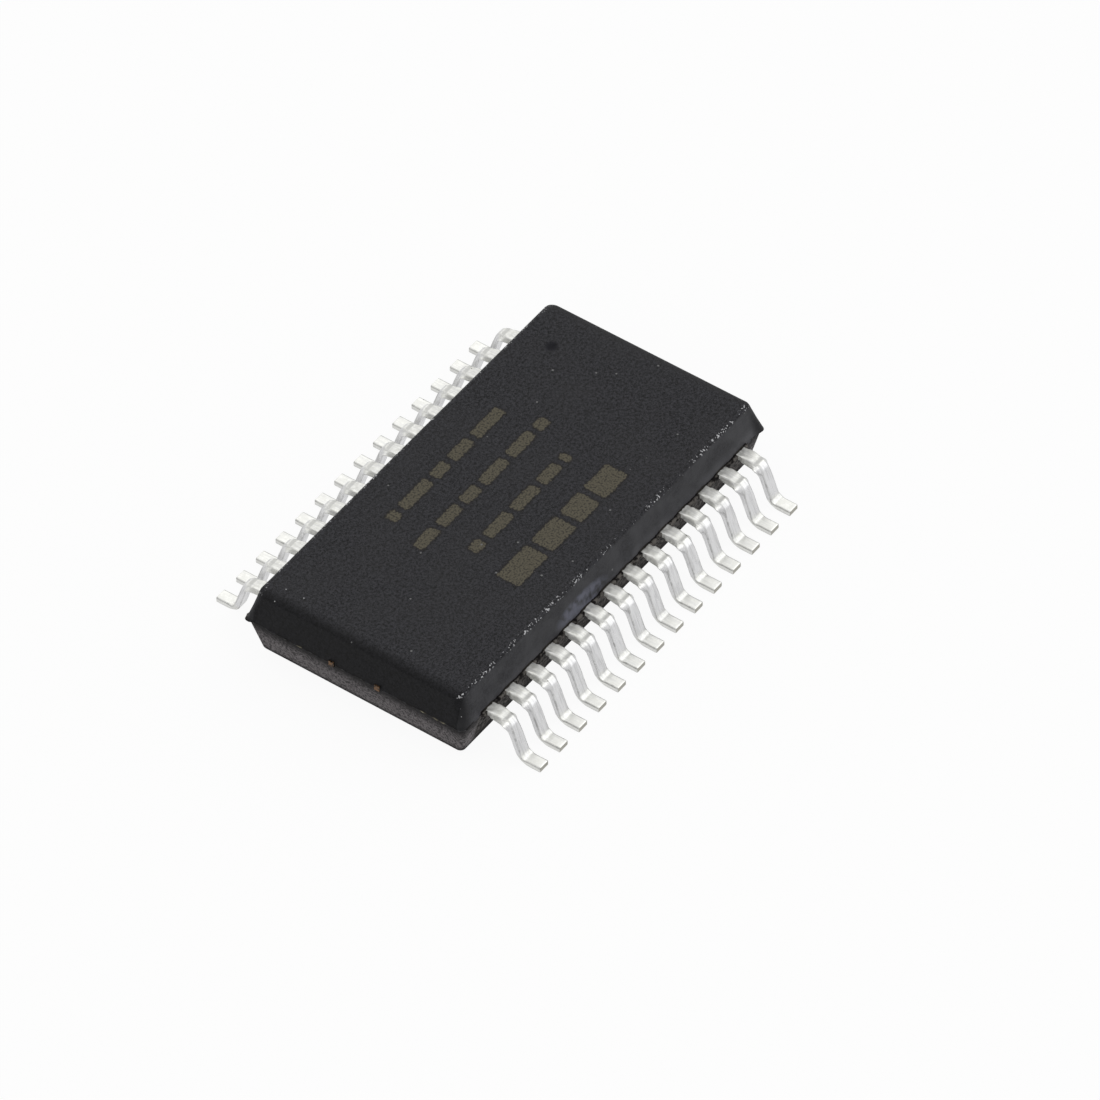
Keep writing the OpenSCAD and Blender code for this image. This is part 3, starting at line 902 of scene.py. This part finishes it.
from_dimple = resin.distance_to((*dimple, body_top - 0.02))
# Painted shade: the floor of the dimple is darker.
tone = resin.mix(resin.ramp(from_dimple, 0.07, 0.2, 0.85, 0.0), tone, dimple_shade)
# Painted glints: pale spots along the long upper edges stand for highlights.
long_edge = resin.ramp(off_y, 2.36, 2.4)
cut_off = resin.ramp(resin.noise(1.6, 2), 0.42, 0.6, 0.7, 0.58)
edge_glints = resin.ramp(resin.minus(resin.noise(24, 1), cut_off), 0.0, 0.06)
tone = resin.mix(resin.times(resin.mark("edge"), long_edge, edge_glints), tone, glint_grey)
tone = resin.mix(resin.specks(4.5, 0.028, 0.9), tone, speck_grey)
# Painted glints: pale spots near the near corners stand for highlights.
corner_glints = 0.0
for spot, size in glint_spots:
    corner_glints = resin.math("MAXIMUM", corner_glints, resin.dot(resin.distance_to(spot), size))
tone = resin.mix(corner_glints, tone, corner_glint_grey)
print("resin nodes", len(resin.tree.nodes))

# %% [markdown]
# One stretch of the right wall is scuffed to a bluish grey. It is an ellipse on the wall, broken up by noise. Just
# below the parting line the resin is painted dark in noisy patches, as painted shade under the lip, and the tabs
# between the leads are dark, with paler ridges away from the wall as painted highlights.

# %% Resin: scuff, painted shade at the seam, and tabs with painted highlights
scuff_x, scuff_z, scuff_half_x, scuff_half_z = -1.05, 1.14, 0.95, 0.27
scuff_blue, seam_shade_dark = colour(0.135, 0.14, 0.175), colour(0.006, 0.005, 0.005)
tab_dark, tab_highlight_brown = colour(0.005, 0.004, 0.004), colour(0.13, 0.12, 0.11)

along_scuff = resin.math("DIVIDE", resin.minus(resin.x, scuff_x), scuff_half_x)
up_scuff = resin.math("DIVIDE", resin.minus(resin.z, scuff_z), scuff_half_z)
squares = resin.plus(resin.times(along_scuff, along_scuff), resin.times(up_scuff, up_scuff))
scuff = resin.times(resin.ramp(squares, 0.2, 1.0, 1.0, 0.0), resin.ramp(resin.noise(5, 5), 0.34, 0.62),
                    resin.math("LESS_THAN", resin.y, -2.4))
tone = resin.mix(resin.times(scuff, 0.9), tone, scuff_blue)
# Painted shade: dark noisy patches just below the parting line, under the lip.
from_seam = resin.off(resin.z, parting - 0.012)
seam_shade = resin.times(resin.ramp(from_seam, 0.016, 0.05, 1.0, 0.0), resin.ramp(resin.noise(11, 3), 0.44, 0.54))
tone = resin.mix(seam_shade, tone, seam_shade_dark)
# Painted highlights: paler patches on the tabs away from the wall.
tab_highlights = resin.times(resin.ramp(resin.noise(9, 3), 0.4, 0.58), resin.ramp(off_y, 2.65, 2.69))
loose = resin.mark("loose")
tone = resin.mix(loose, tone, resin.mix(tab_highlights, tab_dark, tab_highlight_brown))
print("resin nodes", len(resin.tree.nodes))

# %% [markdown]
# Below the parting line the walls are out of the light. Past the leads they are painted lighter, as painted light
# from the floor, with painted shade just under the lip and near the bottom, and a fine noise through it. Behind
# the leads they are painted darker in noisy lumps, as painted shade, darkest towards the bottom. The chips of the
# lip are broken resin, so they are laid on last. Where the lower walls are painted darkest, and on the tabs, the
# resin is also rougher than the moulded skin.

# %% Resin: lower walls, roughness and relief
lump_shade_dark, lump_brown = colour(0.006, 0.005, 0.005), colour(0.105, 0.095, 0.088)
lower_wall_shade_dark, bounce_light_grey = colour(0.001, 0.001, 0.001), colour(0.150, 0.136, 0.140)
chip_brown = colour(0.34, 0.31, 0.22)

below = resin.times(resin.ramp(resin.z, parting - 0.02, parting, 1.0, 0.0), resin.ramp(resin.z, 0.065, 0.1))
past_leads = resin.ramp(off_x, 4.5, 4.6)
lower = resin.times(below, past_leads)
shade_behind_leads = resin.times(below, resin.minus(1.0, past_leads))
# Painted light and shade: past the leads the lower walls are lighter in the middle, as light from the floor, and
# darker under the lip and near the bottom.
painted_bounce_light = resin.times(resin.ramp(resin.z, 0.42, 0.97, 0.8, 0.0), resin.ramp(resin.z, 0.15, 0.27, 0.2, 1.0),
                   resin.ramp(resin.noise(20, 4), 0.34, 0.66, 0.3, 1.6))
# Painted shade: behind the leads the lower walls are darker, in noisy lumps, darkest towards the bottom.
lumps_and_shade = resin.times(resin.ramp(resin.noise(13, 4), 0.32, 0.68), resin.ramp(resin.z, 0.1, 0.45))
tone = resin.mix(resin.times(shade_behind_leads, 0.9), tone, resin.mix(lumps_and_shade, lump_shade_dark, lump_brown))
tone = resin.mix(resin.times(lower, 0.95), tone, resin.mix(painted_bounce_light, lower_wall_shade_dark, bounce_light_grey))
tone = resin.mix(resin.mark("chip"), tone, chip_brown)
rough = resin.plus(resin.ramp(grain, 0.3, 0.7, 0.44, 0.6), resin.times(etched, 0.2))
rough = resin.plus(rough, resin.times(lower, resin.ramp(painted_bounce_light, 0.0, 1.0, 0.2, 0.0)))
rough = resin.plus(rough, resin.times(resin.math("MAXIMUM", shade_behind_leads, loose),
                                      resin.ramp(lumps_and_shade, 0.0, 1.0, 0.35, 0.1)))
resin.surface(Base_Color=tone, Roughness=rough,
              Normal=resin.relief(grain, 0.009, resin.relief(resin.noise(7, 2), 0.008)))
body.data.materials.append(resin.material)
print("resin nodes", len(resin.tree.nodes))

# %% [markdown]
# ### Tin plate
# The leads are plated with matt tin after moulding, and then cut and bent. Rolling and bending leave faint lines
# along the strip. They are a noise that is squeezed across the strip and stretched along it, by the distance kept
# at the points. The forming tool burnishes the upper bend and the leg.

# %% Tin plate: mottle, burnish and lengthwise lines
tin = Finish("tin_plate", Metallic=1.0)
dark_tin, pale_tin = colour(0.56, 0.56, 0.53), colour(0.70, 0.70, 0.675)
burnished_tin, line_grey = colour(0.66, 0.66, 0.665), colour(0.47, 0.47, 0.475)
across_scale, along_scale, through_scale = 34, 2.5, 1.5

along, sheet_side, cut = tin.mark("along"), tin.mark("sheet_side"), tin.mark("cut")
stretched = tin.add("ShaderNodeCombineXYZ")
tin.put(stretched.inputs[0], tin.times(tin.x, across_scale))
tin.put(stretched.inputs[1], tin.times(along, along_scale))
tin.put(stretched.inputs[2], tin.times(sheet_side, through_scale))
lines = tin.noise(1.0, 3, stretched.outputs[0])
mottle = tin.noise(11, 3)
burnished = tin.times(tin.ramp(along, 0.5, 0.62), tin.ramp(along, 1.25, 1.4, 1.0, 0.0))
plate = tin.mix(tin.ramp(mottle, 0.36, 0.64), dark_tin, pale_tin)
plate = tin.mix(burnished, plate, burnished_tin)
plate = tin.mix(tin.ramp(lines, 0.42, 0.66, 0.0, 0.6), plate, line_grey)
print("tin nodes", len(tin.tree.nodes))

# %% [markdown]
# The feet are painted lighter, as painted light, and the rounded edges are painted darker. The outline is strongest
# on the feet and broken into dashes by a noise further up.

# %% Tin plate: feet painted lighter, and their outlines
foot_light_tin, outline_grey, dash_grey = colour(0.76, 0.76, 0.735), colour(0.34, 0.34, 0.33), colour(0.18, 0.18, 0.175)

edges = tin.times(tin.mark("edge"), tin.ramp(along, 0.55, 0.7))
# Painted light: the feet are lighter than the rest of the strip.
plate = tin.mix(tin.ramp(along, 1.45, 1.55, 0.0, 0.4), plate, foot_light_tin)
# The rounded edges are painted darker, most of all on the feet.
plate = tin.mix(tin.times(edges, tin.ramp(along, 1.42, 1.55, 0.35, 0.8)), plate, outline_grey)
plate = tin.mix(tin.times(edges, tin.ramp(tin.noise(8, 2), 0.5, 0.64, 0.0, 0.4)), plate, dash_grey)
print("tin nodes", len(tin.tree.nodes))

# %% [markdown]
# The tool that holds the shoulder leaves a dull line in the dip before the bend, which is also painted darker, as
# painted shade in the dip. The shoulder is painted a little darker, as a painted reflection of the dark body, resin
# stains the shoulder next to the wall, and the toes show bare grey metal where they were cut. The stubs' sheared
# sides are rough.

# %% Tin plate: clamp line and painted shade, stain, cut toe, roughness and relief
clamp_and_dip_grey, shoulder_shade_grey = colour(0.36, 0.36, 0.35), colour(0.30, 0.30, 0.29)
stain_brown, speck_brown, cut_grey = colour(0.05, 0.046, 0.04), colour(0.12, 0.115, 0.10), colour(0.36, 0.35, 0.31)

# Tool mark and painted shade: the dip before the bend is darker on the upper half of the strip.
clamp_line_and_dip_shade = tin.times(tin.ramp(tin.off(along, 0.475), 0.015, 0.05, 1.0, 0.0), tin.ramp(sheet_side, 0.1, 0.4))
plate = tin.mix(tin.times(clamp_line_and_dip_shade, 0.75), plate, clamp_and_dip_grey)
# Painted reflection: the shoulder is a little darker, for the dark body it mirrors.
plate = tin.mix(tin.ramp(along, 0.38, 0.46, 0.17, 0.0), plate, shoulder_shade_grey)
stain_line = tin.plus(along, tin.times(mottle, 0.05))
stain = tin.times(tin.ramp(stain_line, 0.05, 0.065, 1.0, 0.0), tin.ramp(along, -0.1, -0.02))
plate = tin.mix(stain, plate, stain_brown)
plate = tin.mix(tin.specks(5, 0.016, 0.95), plate, speck_brown)
plate = tin.mix(tin.times(cut, 0.9), plate, cut_grey)
sheared = tin.times(tin.ramp(tin.off(sheet_side), 0.55, 0.85, 1.0, 0.0), tin.ramp(along, 0.4, 0.49, 1.0, 0.0))
matt = tin.plus(tin.ramp(mottle, 0.3, 0.7, 0.32, 0.46), tin.times(cut, 0.15))
matt = tin.plus(tin.minus(matt, tin.times(burnished, 0.06)), tin.times(sheared, 0.35))
tin.surface(Base_Color=plate, Roughness=matt,
            Normal=tin.relief(lines, 0.0012, tin.relief(tin.noise(48, 2), 0.0006)))
for lead in leads:
    lead.data.materials.append(tin.material)
print("tin nodes", len(tin.tree.nodes))

# %% [markdown]
# ### Inner parts
# Inside the resin lie the paddle, the adhesive, the die and the wires. Only the cut ends of the paddle's tie bars
# show, as tarnished copper on the end walls, but every node gets its own finish, since the parts are also used
# alone. Plain colours would do, but a noise for the rolled copper and for the silver flakes costs little more.

# %% Copper and adhesive
copper = Finish("bare_copper", Metallic=1.0)
rolled = copper.noise(14, 3)
bright = copper.mix(copper.ramp(rolled, 0.35, 0.65), colour(0.62, 0.30, 0.16), colour(0.78, 0.45, 0.28))
tarnished = copper.mix(copper.ramp(rolled, 0.4, 0.6), colour(0.02, 0.014, 0.010), colour(0.15, 0.085, 0.045))
copper.surface(Base_Color=copper.mix(copper.ramp(copper.off(copper.x), 4.9, 5.05), bright, tarnished),
               Roughness=copper.ramp(rolled, 0.3, 0.7, 0.3, 0.5), Normal=copper.relief(rolled, 0.006))

adhesive = Finish("silver_adhesive", Metallic=0.6)
flakes = adhesive.noise(30, 3)
adhesive.surface(Base_Color=adhesive.mix(adhesive.ramp(flakes, 0.35, 0.65), grey(0.34), grey(0.62)),
                 Roughness=adhesive.ramp(flakes, 0.3, 0.7, 0.4, 0.6), Normal=adhesive.relief(flakes, 0.004))
print("copper nodes", len(copper.tree.nodes), "adhesive nodes", len(adhesive.tree.nodes))

# %% [markdown]
# The die is polished silicon, on which blocks of circuits show as faint colours, and the wires are drawn gold. A
# drawing of the circuits would need a file, so a brick pattern gives the blocks. The solids of the body and the
# leads get the finishes of the pieces that stand for them.

# %% Silicon and gold, and a finish for every solid
silicon = Finish("silicon", Metallic=0.7)
cells = silicon.add("ShaderNodeTexBrick")
for key, value in (("Vector", silicon.mm), ("Scale", 9.0), ("Color1", colour(0.10, 0.12, 0.17)),
                   ("Color2", colour(0.16, 0.15, 0.20)), ("Mortar", colour(0.26, 0.25, 0.24))):
    silicon.put(cells.inputs[key], value)
silicon.surface(Base_Color=cells.outputs["Color"], Roughness=silicon.ramp(silicon.noise(6, 2), 0.3, 0.7, 0.15, 0.3))

gold = Finish("gold_wire", Metallic=1.0)
drawn = gold.noise(40, 2)
gold.surface(Base_Color=gold.mix(drawn, colour(0.83, 0.58, 0.20), colour(0.95, 0.74, 0.36)),
             Roughness=gold.ramp(drawn, 0.3, 0.7, 0.2, 0.34))

finish_of = {"package_body": resin, "lead": tin, "die_paddle": copper, "die_attach": adhesive, "die": silicon,
             "bond_wire": gold}
for name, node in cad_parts.items():
    node.data.materials.clear()
    node.data.materials.append(finish_of[name.rstrip("_0123456789")].material)
print("finishes on", len(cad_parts), "nodes")

# %% [markdown]
# ## Floor and world
# The chip lies on white board. More light would make it white but wash out the leads, so the board is white only
# for the rays that look at it, and it keeps part of its shading, so that the soft shadow stays.

# %% Floor
floor_half, floor_drop, board_glow = 400.0, 0.002, 0.93


def seen_rays(nodes):
    """1 for rays from the camera, or mirrored or let through by a surface, and 0 for those that only bring light."""
    path = nodes.add("ShaderNodeLightPath").outputs
    looking = nodes.math("MAXIMUM", path["Is Camera Ray"], path["Is Glossy Ray"])
    return nodes.math("MAXIMUM", looking, path["Is Transmission Ray"])


floor_corners = np.array([[-1, -1], [1, -1], [1, 1], [-1, 1]]) * floor_half
floor_points = np.column_stack([floor_corners, np.full(4, -floor_drop)])
floor_mesh = bpy.data.meshes.new("white_board")
floor_mesh.from_pydata((floor_points * MM).tolist(), [], [[0, 1, 2, 3]])
floor = bpy.data.objects.new("white_board", floor_mesh)
bpy.context.collection.objects.link(floor)

board = Coat("white_board", Base_Color=grey(0.88), Roughness=0.9, Specular_IOR_Level=0.0)
blend = board.add("ShaderNodeMixShader")
board.put(blend.inputs[0], board.times(seen_rays(board), board_glow))
board.put(blend.inputs[1], board.shader.outputs["BSDF"])
board.put(blend.inputs[2], board.add("ShaderNodeEmission").outputs[0])
board.put(board.end.inputs["Surface"], blend.outputs[0])
floor_mesh.materials.append(board.material)
print("floor", 2 * floor_half, "mm wide,", floor_drop, "mm under the soles")

# %% [markdown]
# The world is treated in the same way: white to look at, also in the mirror of the tin, but weak as a light, so
# that the panels shape the leads. A picture of a studio would do this too, but it would need a file.

# %% World
sky_light = 0.35

world = bpy.context.scene.world or bpy.data.worlds.new("studio")
bpy.context.scene.world = world
world.use_nodes = True
sky_nodes = Nodes(world.node_tree)
sky = sky_nodes.tree.nodes["Background"]
strength = sky_nodes.add("ShaderNodeMapRange")
sky_nodes.put(sky.inputs["Color"], (1, 1, 1, 1))
sky_nodes.put(sky.inputs["Strength"], strength.outputs["Result"])
sky_nodes.put(strength.inputs["Value"], seen_rays(sky_nodes))
sky_nodes.put(strength.inputs["To Min"], sky_light)
sky_nodes.put(strength.inputs["To Max"], 1.0)
print("world light", sky_light)

# %% [markdown]
# ## Lamps
# Four soft panels light the chip. The largest stands far and high, where the flat tops mirror it, and the one on
# the right gives the bends their white lines. A weaker one on the left fills the far row, and a small one in front
# keeps the near end from going black. A square panel stands for the large cloth boxes that such photos use.

# %% Lamps
panel_distance = 130


def panel(name, direction, width, power, tint):
    """Square soft panel at a distance along a direction from the chip, facing it: its back axis is the direction."""
    lamp = bpy.data.lights.new(name, "AREA")
    lamp.shape, lamp.size, lamp.energy, lamp.color = "SQUARE", width * MM, power, tint
    axis = np.array(direction) / np.linalg.norm(direction)
    level_axis = np.cross([0, 0, 1], axis)
    level_axis /= np.linalg.norm(level_axis)
    lamp_object = bpy.data.objects.new(name, lamp)
    bpy.context.collection.objects.link(lamp_object)
    stand(lamp_object, (level_axis, np.cross(axis, level_axis), axis), pivot + panel_distance * axis)
    print(name, "power per area", round(power / (width * MM) ** 2, 3))


panel("far_panel", (0.5, 0.38, 0.78), 260, 0.09, (1, 1, 0.98))
panel("right_panel", (0.5, -0.68, 0.54), 200, 0.086, (0.98, 0.99, 1))
panel("left_panel", (-0.45, 0.45, 0.77), 160, 0.036, (1, 1, 0.98))
panel("front_panel", (-0.79, -0.4, 0.46), 60, 0.018, (1, 1, 1))
